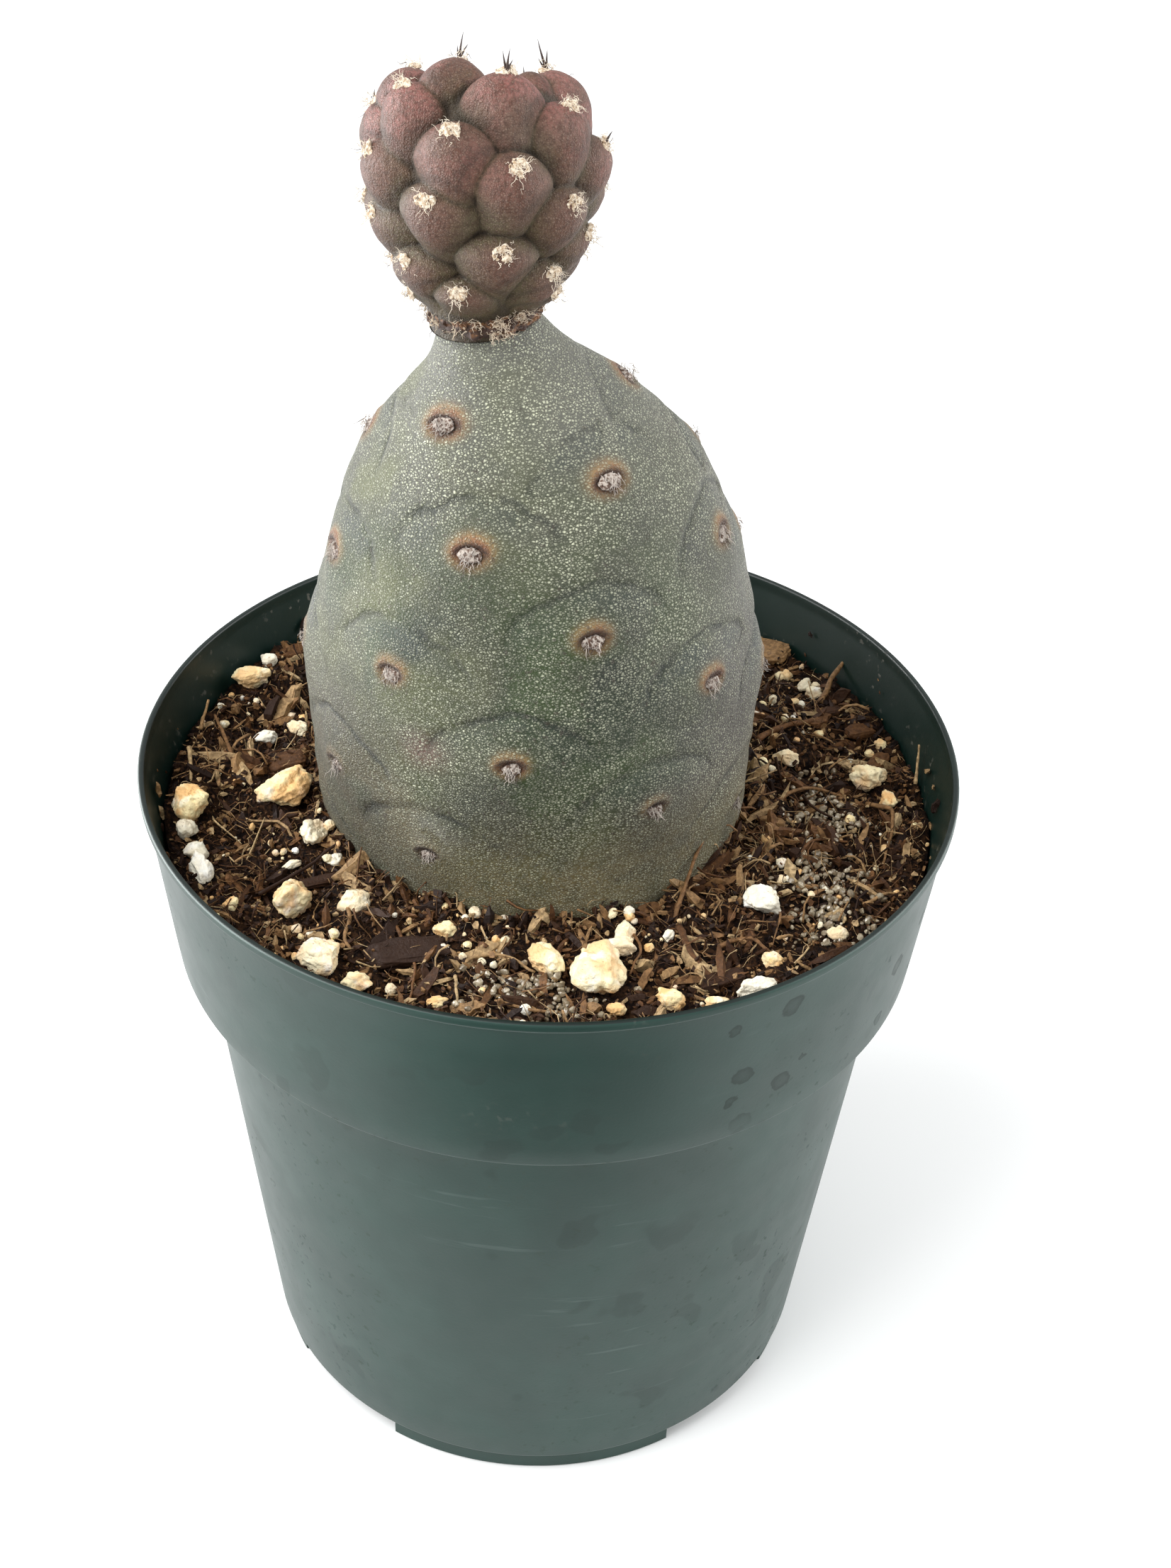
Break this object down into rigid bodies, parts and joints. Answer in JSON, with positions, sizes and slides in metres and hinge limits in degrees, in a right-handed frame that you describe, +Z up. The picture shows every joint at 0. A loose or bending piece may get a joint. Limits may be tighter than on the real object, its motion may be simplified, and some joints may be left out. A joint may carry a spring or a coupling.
{
  "type": "potted spineless pine cone cactus",
  "caption": "Upright segmented cactus: a smooth ovoid lower joint bearing a small cone of plump woolly tubercles, in a round plastic nursery pot of bark and perlite mix.",
  "frame": {"origin": "on the floor under the middle of the pot", "axes": "+Z up; -Y towards the front, where the picture was taken from; +X to the right"},
  "size_m": [0.1016, 0.1016, 0.183],
  "materials": {
    "pot_plastic": "satin dark green moulded plastic with faint scuffs and water stains",
    "potting_mix": "damp dark bark and fibre with pale perlite and grey grit",
    "lower_skin": "grey green waxy skin with fine pale speckles, brown areoles and grey wool",
    "upper_skin": "mauve brown waxy tubercles over grey green valleys, cream wool and dark spines"
  },
  "bodies": {
    "root": {"pot": "pot_plastic", "soil": "potting_mix", "lower_segment": "lower_skin", "upper_segment": "upper_skin"}
  },
  "joints": []
}
